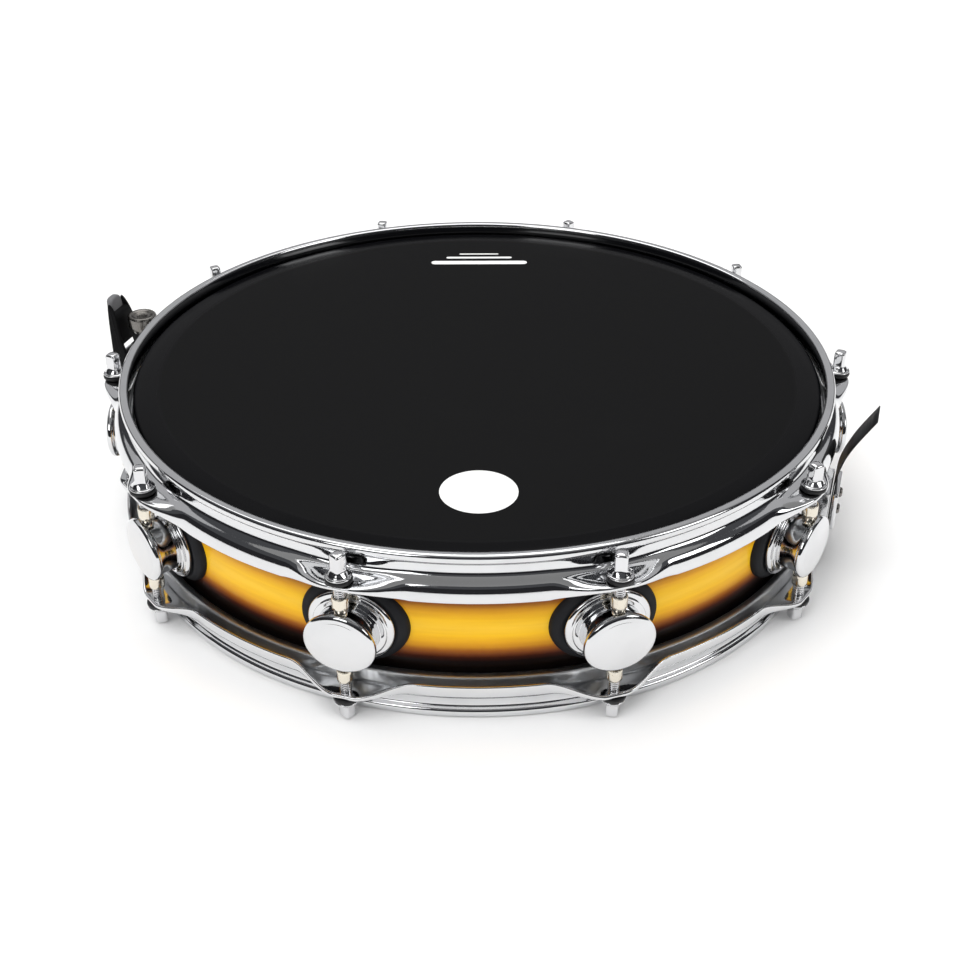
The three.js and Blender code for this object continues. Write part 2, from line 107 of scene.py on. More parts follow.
def signed_volume(points, faces):
    """Six times the volume: each face fanned from its first corner, as triple products with the origin."""
    total = 0.0
    for width in (3, 4):
        group = np.array([face for face in faces if len(face) == width])
        for corner in range(1, width - 1):
            if len(group):
                a, b, c = points[group[:, 0]], points[group[:, corner]], points[group[:, corner + 1]]
                total += np.einsum("ij,ij->i", a, np.cross(b, c)).sum()
    return total


def facing_out(points, faces):
    """The same surface with its faces turned outwards."""
    if signed_volume(points - points.mean(axis=0), faces) < 0:
        faces = [tuple(reversed(face)) for face in faces]
    return points, faces


def torus(rings):
    """A surface closed both ways: rows of section points carried round, the last row meeting the first."""
    rows, columns = rings.shape[:2]
    faces = [tuple(quad) for quad in grid_quads(rows, columns, True).tolist()]
    return facing_out(rings.reshape(-1, 3), faces)


def tube(rings):
    """Rows of closed rings joined one to the next, each end closed by a fan to the middle of its ring."""
    rows, columns = rings.shape[:2]
    points = np.vstack([rings.reshape(-1, 3), rings[0].mean(axis=0), rings[-1].mean(axis=0)])
    faces = [tuple(quad) for quad in grid_quads(rows, columns, False).tolist()]
    start, end, last = rows * columns, rows * columns + 1, (rows - 1) * columns
    for column in range(columns):
        after = (column + 1) % columns
        faces.append((start, column, after))
        faces.append((end, last + after, last + column))
    return facing_out(points, faces)


def softened(line, times, closed):
    """Corners cut at a quarter and three quarters of every edge, so a bent line turns smoothly."""
    line = np.asarray(line, float)
    for _ in range(times):
        after = np.roll(line, -1, axis=0)
        cut = np.stack([0.75 * line + 0.25 * after, 0.25 * line + 0.75 * after], axis=1)
        cut = cut.reshape((-1,) + line.shape[1:])
        line = cut if closed else np.concatenate([line[:1], cut[1:-3], line[-1:]])
    return line


def turned(profile, sides, oval=1.0):
    """A profile of (height, radius) turned about its axis: rows of (height, radius cos t, radius sin t)."""
    profile = np.asarray(profile, float)
    angle = np.linspace(0, 2 * np.pi, sides, endpoint=False)
    height = np.repeat(profile[:, :1], sides, axis=1)
    return height, profile[:, 1:] * np.cos(angle) * oval, profile[:, 1:] * np.sin(angle)


def outward_turning(azimuth, profile, sides, across=0.0, up=MID, oval=1.0):
    """A turned shape whose axis points out of the drum at an azimuth."""
    height, side, rise = turned(profile, sides, oval)
    return at(azimuth, height, side + across, rise + up)


def upright_turning(azimuth, out, profile, sides):
    """A turned shape whose axis stands upright at a distance out along an azimuth."""
    height, one, other = turned(profile, sides)
    return at(azimuth, out + one, other, height)


def superellipse(angle, power):
    """Radius of |cos t|^n + |sin t|^n = 1, from a circle at n = 2 towards a square as n grows."""
    return (np.abs(np.cos(angle)) ** power + np.abs(np.sin(angle)) ** power) ** (-1.0 / power)


def slab(outline, start, end, bevel, steps=4):
    """Rings of a plate: an outline pulled in by b(1 - cos a) as each face is neared by b(1 - sin a).

    The outline is an array of points in the plate's plane, in order round it; each ring is returned as
    (first, second, through) with through running from start to end.
    """
    outline = np.asarray(outline, float)
    along = np.roll(outline, -1, axis=0) - np.roll(outline, 1, axis=0)
    normal = np.stack([along[:, 1], -along[:, 0]], axis=1)
    normal /= np.linalg.norm(normal, axis=1, keepdims=True)
    area = np.sum(outline[:, 0] * np.roll(outline[:, 1], -1) - np.roll(outline[:, 0], -1) * outline[:, 1])
    normal *= np.sign(area)
    quarter = np.linspace(0, np.pi / 2, steps + 1)
    inset = np.concatenate([bevel * (1 - np.sin(quarter)), bevel * (1 - np.cos(quarter))])
    depth = np.concatenate([start + bevel * (1 - np.cos(quarter)), end - bevel * (1 - np.sin(quarter))])
    plane = outline[None] - inset[:, None, None] * normal[None]
    return plane[..., 0], plane[..., 1], np.repeat(depth[:, None], len(outline), axis=1)


def rounded_rectangle(low, high, radius, steps=5):
    """A rectangle's outline with a quarter circle at each corner."""
    points = []
    corners = ((high[0], high[1], 0), (low[0], high[1], 1), (low[0], low[1], 2), (high[0], low[1], 3))
    for x, y, quarter in corners:
        angle = np.linspace(0, np.pi / 2, steps + 1) + quarter * np.pi / 2
        centre_x = x - radius * (1 if x == high[0] else -1)
        centre_y = y - radius * (1 if y == high[1] else -1)
        points.append(np.stack([centre_x + radius * np.cos(angle), centre_y + radius * np.sin(angle)], axis=1))
    return np.concatenate(points)


def facing_plate(azimuth, low, high, out_from, out_to, corner, bevel):
    """A rounded plate whose faces look out of the drum; low and high are (across, up)."""
    across, up, out = slab(rounded_rectangle(low, high, corner), out_from, out_to, bevel)
    return tube(at(azimuth, out, across, up))


def side_plate(azimuth, outline, across_from, across_to, bevel):
    """A plate whose outline lies in the out-up plane, as thick across as asked."""
    out, up, across = slab(outline, across_from, across_to, bevel)
    return tube(at(azimuth, out, across, up))


def add_piece(name, parts, material, body, replaces=(), flat=False, more_materials=()):
    """One mesh object from closed parts given in millimetres, riding on a body at the origin."""
    points, faces, offset = [], [], 0
    for part_points, part_faces in parts:
        points.append(part_points)
        faces.extend([tuple(corner + offset for corner in face) for face in part_faces])
        offset += len(part_points)
    mesh = bpy.data.meshes.new(name)
    mesh.from_pydata((np.vstack(points) * MM).tolist(), [], faces)
    mesh.validate()
    mesh.polygons.foreach_set("use_smooth", np.full(len(mesh.polygons), not flat))
    piece = bpy.data.objects.new(name, mesh)
    bpy.context.scene.collection.objects.link(piece)
    for one in (material, *more_materials):
        mesh.materials.append(one)
    if replaces:
        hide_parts(*replaces)
    if body:
        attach(piece, body)
    return piece


def edged(piece, width, angle=32, segments=3):
    """Rounds a piece's sharp edges with a bevel of a real width."""
    bevel = piece.modifiers.new("soft_edges", "BEVEL")
    bevel.width = width * MM
    bevel.segments = segments
    bevel.limit_method = "ANGLE"
    bevel.angle_limit = math.radians(angle)
    bevel.harden_normals = False
    return piece


def machined_copy(node, name, material, body, width):
    """A node's own solid with its triangles merged into whole faces, and its edges rounded."""
    import bmesh

    work = bmesh.new()
    work.from_mesh(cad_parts[node].data)
    work.transform(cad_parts[node].matrix_world)
    bmesh.ops.remove_doubles(work, verts=work.verts, dist=2e-6)
    bmesh.ops.dissolve_limit(work, angle_limit=math.radians(1.5), verts=work.verts, edges=work.edges)
    bmesh.ops.recalc_face_normals(work, faces=work.faces)
    mesh = bpy.data.meshes.new(name)
    work.to_mesh(mesh)
    work.free()
    mesh.polygons.foreach_set("use_smooth", np.full(len(mesh.polygons), False))
    mesh.materials.clear()
    mesh.materials.append(material)
    piece = bpy.data.objects.new(name, mesh)
    bpy.context.scene.collection.objects.link(piece)
    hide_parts(node)
    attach(piece, body)
    return edged(piece, width)


# ---------- shader arithmetic ----------
class Value:
    """A shader socket that takes part in Python arithmetic; each operation adds its Math node."""

    def __init__(self, shader, socket):
        self.shader, self.socket = shader, socket

    def math(self, operation, *others):
        return self.shader.node("ShaderNodeMath", {"operation": operation}, dict(enumerate((self, *others))))

    def __add__(self, other):
        return self.math("ADD", other)

    __radd__ = __add__

    def __mul__(self, other):
        return self.math("MULTIPLY", other)

    __rmul__ = __mul__

    def __sub__(self, other):
        return self.math("SUBTRACT", other)

    def __rsub__(self, other):
        return self.shader.node("ShaderNodeMath", {"operation": "SUBTRACT"}, {0: other, 1: self})

    def __truediv__(self, other):
        return self.math("DIVIDE", other)

    def __pow__(self, other):
        return self.math("POWER", other)

    def __abs__(self):
        return self.math("ABSOLUTE")

    def step(self, low, high):
        """0 below low, 1 above high, and a smooth rise between."""
        settings = {"interpolation_type": "SMOOTHSTEP"}
        return self.shader.node("ShaderNodeMapRange", settings, {"Value": self, "From Min": low, "From Max": high})


class Shader:
    """A material with one principled surface, built up by expressions."""

    def __init__(self, name):
        self.material = bpy.data.materials.new(name)
        self.material.use_nodes = True
        self.tree = self.material.node_tree
        self.surface = self.tree.nodes["Principled BSDF"]
        self.place = self.node("ShaderNodeTexCoord", {}, {}, "Object")

    def node(self, kind, settings, inputs, output=0):
        node = self.tree.nodes.new(kind)
        for name, setting in settings.items():
            if name == "stops":
                self.stops(node.color_ramp, setting)
            else:
                setattr(node, name, setting)
        for name, value in inputs.items():
            self.feed(node.inputs[name], value)
        return Value(self, node.outputs[output])

    def feed(self, socket, value):
        if isinstance(value, Value):
            self.tree.links.new(value.socket, socket)
        else:
            socket.default_value = value

    @staticmethod
    def stops(ramp, stops):
        while len(ramp.elements) < len(stops):
            ramp.elements.new(0.5)
        for element, (position, color) in zip(ramp.elements, stops):
            element.position = position
            element.color = (*color, 1)

    def set(self, **values):
        """Feeds the surface's sockets; a name's underscores stand for spaces."""
        for name, value in values.items():
            if isinstance(value, tuple) and len(value) == 3:
                value = (*value, 1)
            self.feed(self.surface.inputs[name.replace("_", " ")], value)
        return self.material

    def noise(self, scale, detail=2.0, stretch=(1, 1, 1), roughness=0.5):
        """Noise on the piece's own coordinates, finer along an axis as its stretch grows."""
        where = self.node("ShaderNodeMapping", {}, {"Vector": self.place, "Scale": stretch})
        inputs = {"Vector": where, "Scale": scale, "Detail": detail, "Roughness": roughness}
        return self.node("ShaderNodeTexNoise", {}, inputs)

    def cells(self, scale):
        """Distance to the nearest of scattered points."""
        return self.node("ShaderNodeTexVoronoi", {}, {"Vector": self.place, "Scale": scale})

    def blend(self, amount, first, second):
        """A colour between two colours."""
        settings = {"data_type": "RGBA"}
        pair = [(*one, 1) if isinstance(one, tuple) else one for one in (first, second)]
        return self.node("ShaderNodeMix", settings, {0: amount, 6: pair[0], 7: pair[1]}, 2)

    def axis(self, name):
        return self.node("ShaderNodeSeparateXYZ", {}, {0: self.place}, name)

    def from_axis(self):
        """Distance from the drum's axis, in metres."""
        flat = self.node("ShaderNodeVectorMath", {"operation": "MULTIPLY"}, {0: self.place, 1: (1, 1, 0)})
        return self.node("ShaderNodeVectorMath", {"operation": "LENGTH"}, {0: flat}, "Value")

    def bump(self, height, distance, strength=1.0):
        return self.node("ShaderNodeBump", {}, {"Height": height, "Distance": distance, "Strength": strength})


def linear(*values):
    """Scene colour from display values of 0 to 255."""
    return tuple((v / 255 / 12.92) if v <= 10 else ((v / 255 + 0.055) / 1.055) ** 2.4 for v in values)


def plated(name, tint, roughness, haze, scratch):
    """Plated metal: a clear reflection, with faint hazy patches, hairline scratches and tiny pits."""
    shader = Shader(name)
    patches = shader.noise(38, 4).step(0.48, 0.72)
    hairs = shader.noise(900, 2, (1, 1, 0.12)).step(0.52, 0.62)
    darker = tuple(0.86 * part for part in tint)
    pits = 1 - shader.cells(420).step(0.015, 0.05)
    return shader.set(
        Base_Color=shader.blend(patches * 0.45 + pits * 0.3, tint, darker),
        Metallic=1.0,
        Roughness=roughness + haze * patches + scratch * hairs,
        Normal=shader.bump(shader.noise(260, 2) * 0.6 + hairs * 0.4, 0.000012, 0.5),
    )


def moulded(name, tone, roughness, grain, depth, shine=0.3):
    """Moulded plastic or rubber: a fine grain, dusty patches and slight unevenness of tone."""
    shader = Shader(name)
    fine = shader.noise(grain, 3)
    dust = shader.noise(55, 4).step(0.45, 0.75)
    lighter = tuple(part * 1.7 + 0.004 for part in tone)
    return shader.set(
        Base_Color=shader.blend(dust * 0.5 + fine * 0.2, tone, lighter),
        Roughness=roughness + 0.12 * dust - 0.06 * fine,
        Specular_IOR_Level=shine,
        Normal=shader.bump(fine, depth),
    )


def burst_lacquer(colours):
    """Amber at the middle of the shell, shading through brown to black at both edges, under clear gloss."""
    shader = Shader("burst_lacquer")
    height = abs(shader.axis("Z") - (MID + 1.2) * MM) / (26 * MM)
    wander = (shader.noise(14, 3) - 0.5) * 0.05 + (shader.noise(260, 2, (1, 1, 1)) - 0.5) * 0.02
    stops = [
        (0.0, colours.amber), (0.16, linear(252, 196, 30)), (0.3, linear(236, 172, 26)),
        (0.4, linear(208, 142, 22)), (0.48, linear(158, 90, 14)), (0.56, linear(112, 54, 9)),
        (0.63, linear(58, 19, 5)), (0.72, linear(16, 6, 4)), (1.0, colours.shell_edge),
    ]
    tone = shader.node("ShaderNodeValToRGB", {"stops": stops}, {0: height + wander})
    grain = shader.noise(30, 5, (1, 1, 14), 0.6).step(0.35, 0.8)
    deeper = shader.node("ShaderNodeMix", {"data_type": "RGBA", "blend_type": "MULTIPLY"},
                         {0: grain * 0.16, 6: tone, 7: (0.62, 0.42, 0.2, 1)}, 2)
    return shader.set(
        Base_Color=deeper,
        Roughness=0.34 + 0.08 * grain,
        Specular_IOR_Level=0.12,
        Coat_Weight=0.16,
        Coat_Roughness=0.04,
        Normal=shader.bump(shader.noise(180, 2), 0.00003, 0.35),
    )


def maple():
    """Pale plies inside the shell: long fibres round the drum, with slow changes of tone."""
    shader = Shader("maple_inside")
    fibre = shader.noise(22, 6, (1, 1, 24), 0.65)
    slow = shader.noise(9, 3, (1, 1, 3))
    tone = shader.blend(fibre.step(0.3, 0.75), linear(214, 176, 126), linear(182, 138, 88))
    tone = shader.blend(slow.step(0.4, 0.7) * 0.4, tone, linear(168, 122, 74))
    return shader.set(
        Base_Color=tone, Roughness=0.5 + 0.15 * fibre, Normal=shader.bump(fibre, 0.00008, 0.5),
    )


def coated_film():
    """Black film with a sprayed satin coat; from 164 mm out to the edge the film is darker and glossier."""
    shader = Shader("black_film")
    spray = shader.noise(1500, 3)
    scuffs = shader.noise(24, 5).step(0.52, 0.74)
    specks = 1 - shader.cells(95).step(0.010, 0.022)
    # Darker, glossier film from 164 mm out to the edge.
    edge_ring = shader.from_axis().step(0.1640, 0.1675)
    coat = shader.blend(scuffs * 0.5 + spray * 0.3, (0.0045, 0.0045, 0.0048), (0.0068, 0.0068, 0.0072))
    tone = shader.blend(edge_ring, shader.blend(specks * 0.35, coat, (0.08, 0.075, 0.07)), (0.0015, 0.0015, 0.002))
    return shader.set(
        Base_Color=tone,
        Roughness=0.56 + 0.07 * scuffs - 0.36 * edge_ring,
        Specular_IOR_Level=0.07,
        Normal=shader.bump(spray * (1 - edge_ring), 0.00002, 0.5),
    )


def clear_film():
    """Thin clear film with a milky haze and faint ripples."""
    shader = Shader("clear_film")
    haze = shader.noise(30, 4).step(0.35, 0.75)
    return shader.set(
        Base_Color=shader.blend(haze, (0.80, 0.82, 0.84), (0.83, 0.85, 0.87)),
        Roughness=0.14 + 0.05 * haze,
        Alpha=0.24 + 0.03 * haze,
        Normal=shader.bump(shader.noise(60, 2), 0.00005, 0.3),
    )


def printed_ink():
    """Opaque white ink, a little thin and uneven in places."""
    shader = Shader("white_ink")
    thin = shader.noise(500, 3).step(0.5, 0.8)
    return shader.set(
        Base_Color=shader.blend(thin, (0.88, 0.88, 0.87), (0.76, 0.76, 0.75)),
        Roughness=0.5 + 0.1 * thin, Normal=shader.bump(thin, 0.00001, 0.4),
    )


def ribbon_film():
    """Smooth black plastic ribbon with faint draw lines along its width."""
    shader = Shader("strap_film")
    lines = shader.noise(300, 2, (0.1, 0.1, 3))
    return shader.set(
        Base_Color=shader.blend(lines, (0.004, 0.004, 0.0045), (0.008, 0.008, 0.009)),
        Roughness=0.34 + 0.2 * lines, Specular_IOR_Level=0.15, Normal=shader.bump(lines, 0.00003, 0.4),
    )


def drawn_wire():
    """Bright drawn steel wire with a fine lengthwise shimmer."""
    shader = Shader("wire_steel")
    shimmer = shader.noise(1400, 2)
    return shader.set(
        Base_Color=shader.blend(shimmer, (0.74, 0.73, 0.71), (0.58, 0.57, 0.56)),
        Metallic=1.0, Roughness=0.2 + 0.14 * shimmer, Normal=shader.bump(shimmer, 0.00002, 0.4),
    )


FINISHES = {}


def finish(name):
    """The finish of that name, made the first time it is asked for."""
    if name not in FINISHES:
        colours = bpy.context.scene.drum_colours
        makers = {
            "hoop_chrome": lambda: plated("hoop_chrome", tuple(colours.chrome), 0.045, 0.05, 0.04),
            "lug_chrome": lambda: plated("lug_chrome", tuple(colours.chrome), 0.035, 0.04, 0.03),
            "rod_chrome": lambda: plated("rod_chrome", (0.74, 0.74, 0.75), 0.07, 0.06, 0.06),
            "warm_nickel": lambda: plated("warm_nickel", (0.78, 0.73, 0.63), 0.16, 0.08, 0.08),
            "dark_nickel": lambda: plated("dark_nickel", (0.2, 0.19, 0.178), 0.24, 0.1, 0.08),
            "channel": lambda: plated("channel", (0.62, 0.63, 0.64), 0.34, 0.1, 0.1),
            "slide_steel": lambda: plated("slide_steel", (0.6, 0.6, 0.61), 0.26, 0.1, 0.12),
            "wire_steel": drawn_wire,
            "rubber": lambda: moulded("rubber_gasket", (0.014, 0.0145, 0.0165), 0.6, 1600, 0.00004, 0.12),
            "nylon": lambda: moulded("nylon_washer", (0.010, 0.010, 0.011), 0.38, 1100, 0.00002),
            "lever_black": lambda: moulded("lever_black", (0.0035, 0.0035, 0.004), 0.5, 1300, 0.00003, 0.1),
            "lever_grey": lambda: moulded("lever_grey", (0.13, 0.13, 0.135), 0.5, 1200, 0.00003),
            "burst_lacquer": lambda: burst_lacquer(colours),
            "maple": maple,
            "black_film": coated_film,
            "clear_film": clear_film,
            "white_ink": printed_ink,
            "strap_film": ribbon_film,
        }
        FINISHES[name] = makers[name]()
    return FINISHES[name]


# ---------- settings ----------
class DrumSizes(bpy.types.PropertyGroup):
    """Sizes of details that can change without touching the frame."""

    ring_steps: bpy.props.IntProperty(
        name="Ring Steps", description="Sections round each hoop and ring", default=600, min=120, max=900)
    crown_width: bpy.props.FloatProperty(
        name="Crown Width", description="Width of the rolled edge along the top of a hoop",
        default=4.9 * MM, unit="LENGTH", subtype="DISTANCE")
    ear_half_angle: bpy.props.FloatProperty(
        name="Ear Half Angle", description="Half of the arc over which a hoop's lip runs out into an ear",
        default=math.radians(9.0), unit="ROTATION", subtype="ANGLE")
    thread_pitch: bpy.props.FloatProperty(
        name="Thread Pitch", description="Distance between turns of a tension rod's thread",
        default=1.06 * MM, unit="LENGTH", subtype="DISTANCE")
    wire_pitch: bpy.props.FloatProperty(
        name="Wire Pitch", description="Distance between coils of a snare strand",
        default=2.4 * MM, unit="LENGTH", subtype="DISTANCE")
    mark_diameter: bpy.props.FloatProperty(
        name="Mark Diameter", description="Diameter of the plain round mark on the playing face",
        default=36 * MM, unit="LENGTH", subtype="DISTANCE")


class DrumColours(bpy.types.PropertyGroup):
    """Colours of the finishes."""

    amber: bpy.props.FloatVectorProperty(
        name="Amber", description="Colour at the middle of the shell", subtype="COLOR",
        size=3, min=0, max=1, default=linear(255, 203, 52))
    shell_edge: bpy.props.FloatVectorProperty(
        name="Shell Edge", description="Colour at the edges of the shell", subtype="COLOR",
        size=3, min=0, max=1, default=linear(10, 9, 9))
    chrome: bpy.props.FloatVectorProperty(
        name="Chrome", description="Tint of the chrome plating", subtype="COLOR",
        size=3, min=0, max=1, default=(0.72, 0.725, 0.735))
    floor: bpy.props.FloatVectorProperty(
        name="Floor", description="Colour of the floor", subtype="COLOR",
        size=3, min=0, max=1, default=(0.91, 0.91, 0.91))


# ---------- pieces ----------
def ear_amount(azimuth, half_angle):
    """1 at each rod, falling to 0 at the half angle along a straight ramp with rounded ends."""
    offset = np.abs((azimuth - LUG_AZIMUTHS[0] + 18) % 36 - 18)
    ramp = np.clip((half_angle - offset) / (half_angle - 1.6), 0, 1)
    return 0.45 * ramp + 0.55 * ramp * ramp * (3 - 2 * ramp)


def hoop_sections(azimuth, crown, half_angle):
    """Sections of a flanged hoop as (radius, drop below its crown): each corner is mixed between its place
    midway between rods, where the flange ends in a lip, and its place at a rod, where it is a flat ear."""
    ear = ear_amount(azimuth, half_angle)[:, None]
    reach = ear_amount(azimuth, half_angle * 0.92)[:, None]
    between = np.array([
        (180.0, 1.0), (180.0, 10.2), (180.8, 12.6), (183.0, 14.4), (185.0, 15.4), (186.6, 17.6), (187.4, 20.8),
        (187.8, 21.4), (188.9, 21.4), (189.3, 20.8), (189.1, 18.4), (188.3, 15.6), (186.9, 13.4), (184.4, 12.0),
        (182.4, 10.2), (182.2, 6.0), (182.8, 4.9), (180 + crown - 0.8, 4.4), (180 + crown, 3.4),
        (180 + crown + 0.1, 1.4), (180 + crown - 0.7, 0.2), (180 + crown - 1.8, 0.0), (181.0, 0.0),
    ])
    at_rod = np.array([
        (180.0, 1.0), (180.0, 10.8), (180.9, 13.4), (183.4, 15.2), (188.0, 15.5), (192.0, 15.5), (195.4, 15.5),
        (196.2, 15.5), (196.8, 15.3), (197.1, 14.6), (196.9, 13.6), (196.1, 13.3), (190.0, 13.3), (185.4, 13.1),
        (182.5, 11.4), (182.2, 6.4), (182.8, 4.9), (180 + crown - 0.8, 4.4), (180 + crown, 3.4),
        (180 + crown + 0.1, 1.4), (180 + crown - 0.7, 0.2), (180 + crown - 1.8, 0.0), (181.0, 0.0),
    ])
    radius = between[:, 0] * (1 - reach) + at_rod[:, 0] * reach
    drop = between[:, 1] * (1 - ear) + at_rod[:, 1] * ear
    return np.stack([radius, drop], axis=-1)


def carried_round(sections, azimuth):
    """Sections of (radius, height), one for each azimuth, set upright round the drum's axis."""
    angle = np.radians(azimuth - 90)[:, None]
    radius, height = sections[..., 0], sections[..., 1]
    return torus(np.stack([radius * np.cos(angle), radius * np.sin(angle), height], axis=-1))


def even_ring(section, times, steps):
    """One section of (radius, height), its corners softened, carried all the way round."""
    azimuth = np.arange(steps) * 360.0 / steps
    section = softened(section, times, True)
    return carried_round(np.broadcast_to(section, (steps, *section.shape)), azimuth)


def softened_sections(sections, times):
    """The same corner cutting for many sections at once."""
    return np.moveaxis(softened(np.moveaxis(sections, 1, 0), times, True), 0, 1)


class DRUM_OT_hoops(bpy.types.Operator):
    """Adds both flanged hoops; the lower one has a gate for each strap"""

    bl_idname = "drum.hoops"
    bl_label = "Hoops"

    def execute(self, context):
        sizes = context.scene.drum_sizes
        azimuth = np.arange(sizes.ring_steps) * 360.0 / sizes.ring_steps
        sections = hoop_sections(azimuth, sizes.crown_width / MM, math.degrees(sizes.ear_half_angle))
        upper = softened_sections(sections, 2)
        upper[..., 1] = HEIGHT - upper[..., 1]
        add_piece("batter_hoop_chrome", [carried_round(upper, azimuth)], finish("hoop_chrome"), "drum_body",
                  ["batter_hoop"])
        lower = softened_sections(sections, 2)
        for gate in (THROW_OFF_AZIMUTH, BUTT_AZIMUTH):
            offset = np.abs((azimuth - gate + 180) % 360 - 180)
            edge = np.clip((7.7 - offset) / 0.8, 0, 1)[:, None]
            floor = 9.4 * edge * edge * (3 - 2 * edge)
            lower[..., 1] = np.maximum(lower[..., 1], floor + 0.25 * lower[..., 1] * (floor > 0))
        add_piece("snare_hoop_chrome", [carried_round(lower, azimuth)], finish("hoop_chrome"), "drum_body",
                  ["snare_hoop"])
        return {"FINISHED"}


class DRUM_OT_shell(bpy.types.Operator):
    """Adds the lacquered shell with its rounded bearing edges and maple inside, and the air vent"""

    bl_idname = "drum.shell"
    bl_label = "Shell"

    def execute(self, context):
        round_over = np.linspace(0, np.pi / 2, 5)
        outer = np.stack([SHELL_RADIUS - 1.6 + 1.6 * np.cos(round_over), 1.6 * np.sin(round_over)], axis=1)
        top = [(r, SHELL_TOP - 1.6 + h) for r, h in outer] + [(SHELL_INSIDE + 3.8, SHELL_TOP - 0.25),
                                                            (SHELL_INSIDE, SHELL_TOP - 4.2)]
        levels = np.linspace(SHELL_TOP - 8, SHELL_BOTTOM + 8, 12)
        inside = [(SHELL_INSIDE, level) for level in levels]
        bottom = [(r, HEIGHT - h) for r, h in reversed(top)]
        outside = [(SHELL_RADIUS, level) for level in levels[::-1]]
        section = np.array(top + inside + bottom + outside)
        steps = 240
        azimuth = np.arange(steps) * 360.0 / steps
        piece = add_piece(
            "shell_burst", [carried_round(np.broadcast_to(section, (steps, *section.shape)), azimuth)],
            finish("burst_lacquer"), "drum_body", ["shell"], more_materials=[finish("maple")])
        middle = np.zeros(len(piece.data.polygons) * 3)
        piece.data.polygons.foreach_get("center", middle)
        radius = np.linalg.norm(middle.reshape(-1, 3)[:, :2], axis=1)
        inner = (radius < (SHELL_RADIUS - 3.2) * MM).astype(np.int32)
        piece.data.polygons.foreach_set("material_index", inner)
        edged(piece, 0.3, 30, 2)
        vent = softened([(171.0, 3.4), (171.0, 5.2), (177.9, 5.2), (177.9, 8.6), (178.8, 9.0), (180.0, 8.0),
                         (180.4, 5.6), (180.0, 3.8), (178.6, 3.4)], 2, True)
        rings = outward_turning(VENT_AZIMUTH, vent, 40)
        add_piece("air_vent_chrome", [torus(rings)], finish("lug_chrome"), "drum_body", ["air_vent"])
        bolts = []
        for azimuth in LUG_AZIMUTHS:
            for up in (MID - 9.5, MID + 9.5):
                head = [(171.9, 5.4), (171.2, 5.5), (171.1, 4.3), (168.6, 4.2), (168.1, 3.4), (168.1, 1.2)]
                bolts.append(tube(outward_turning(azimuth, head, 16, up=up)))
        for azimuth in (THROW_OFF_AZIMUTH, BUTT_AZIMUTH):
            for up in (MID - 13.0, MID + 13.0):
                head = [(171.9, 5.4), (171.2, 5.5), (171.1, 4.3), (168.6, 4.2), (168.1, 3.4), (168.1, 1.2)]
                bolts.append(tube(outward_turning(azimuth, head, 16, up=up)))
        edged(add_piece("inside_bolts", bolts, finish("channel"), "drum_body",
                        flat=False), 0.2)
        return {"FINISHED"}


class DRUM_OT_heads(bpy.types.Operator):
    """Adds both film heads, each with its collar turned over the bearing edge, and the flesh hoops"""

    bl_idname = "drum.heads"
    bl_label = "Heads"

    def execute(self, context):
        bend = np.linspace(0, np.pi / 2, 7)
        shoulder = [(176.0 + 2.5 * math.sin(a), HEAD_TOP - 0.35 - 2.1 * (1 - math.cos(a))) for a in bend]
        outer = ([(r, HEAD_TOP) for r in (4, 40, 90, 130, 155, 166, 171)] + [(173.8, HEAD_TOP - 0.08)]
                 + shoulder + [(178.55, 78.0), (178.55, 71.0)])
        inner = [(r - (0.3 if r > 172 else 0), h - (0.42 if h > 79 else 0)) for r, h in reversed(outer)]
        profile = np.array([(h, r) for r, h in outer + inner])
        for name, node, material, slot, below in (
                ("batter_head_film", "batter_head", "black_film", "black_film", False),
                ("snare_head_film", "snare_head", "clear_film", "clear_film", True)):
            height, one, other = turned(profile, 180)
            rings = np.stack([one, other, HEIGHT - height if below else height], axis=-1)
            add_piece(name, [tube(rings)], finish(material), "drum_body", [node, node + "_collar"])
        channel = [(179.1, 65.9), (184.2, 65.9), (184.3, 66.3), (184.3, 73.4), (183.9, 73.8), (179.4, 73.8),
                   (179.1, 73.4)]
        add_piece("batter_flesh_ring", [even_ring(channel, 1, 240)], finish("channel"), "drum_body",
                  ["batter_flesh_hoop"])
        mirrored = [(r, HEIGHT - h) for r, h in channel]
        add_piece("snare_flesh_ring", [even_ring(mirrored, 1, 240)], finish("channel"), "drum_body",
                  ["snare_flesh_hoop"])
        return {"FINISHED"}


class DRUM_OT_marks(bpy.types.Operator):
    """Prints a plain disc and three plain bars in white on the playing face"""

    bl_idname = "drum.marks"
    bl_label = "Printed Marks"

    def execute(self, context):
        radius = context.scene.drum_sizes.mark_diameter / MM / 2
        ink = HEAD_TOP + 0.012
        angle = np.linspace(0, 2 * np.pi, 72, endpoint=False)
        disc = np.stack([radius * np.cos(angle), radius * np.sin(angle) - 126.0], axis=1)
        outlines = [disc]
        for width, thick, back in ((58, 5.0, 131.5), (40, 2.6, 139.0), (24, 1.6, 144.5)):
            low, high = (-width / 2 + 2, back - thick / 2), (width / 2 + 2, back + thick / 2)
            outlines.append(rounded_rectangle(low, high, thick * 0.45))
        parts = []
        for outline in outlines:
            x, y, z = slab(outline, ink, ink + 0.03, 0.01, 1)
            parts.append(tube(np.stack([x, y, z], axis=-1)))
        add_piece("printed_marks", parts, finish("white_ink"), "drum_body", flat=True)
        return {"FINISHED"}


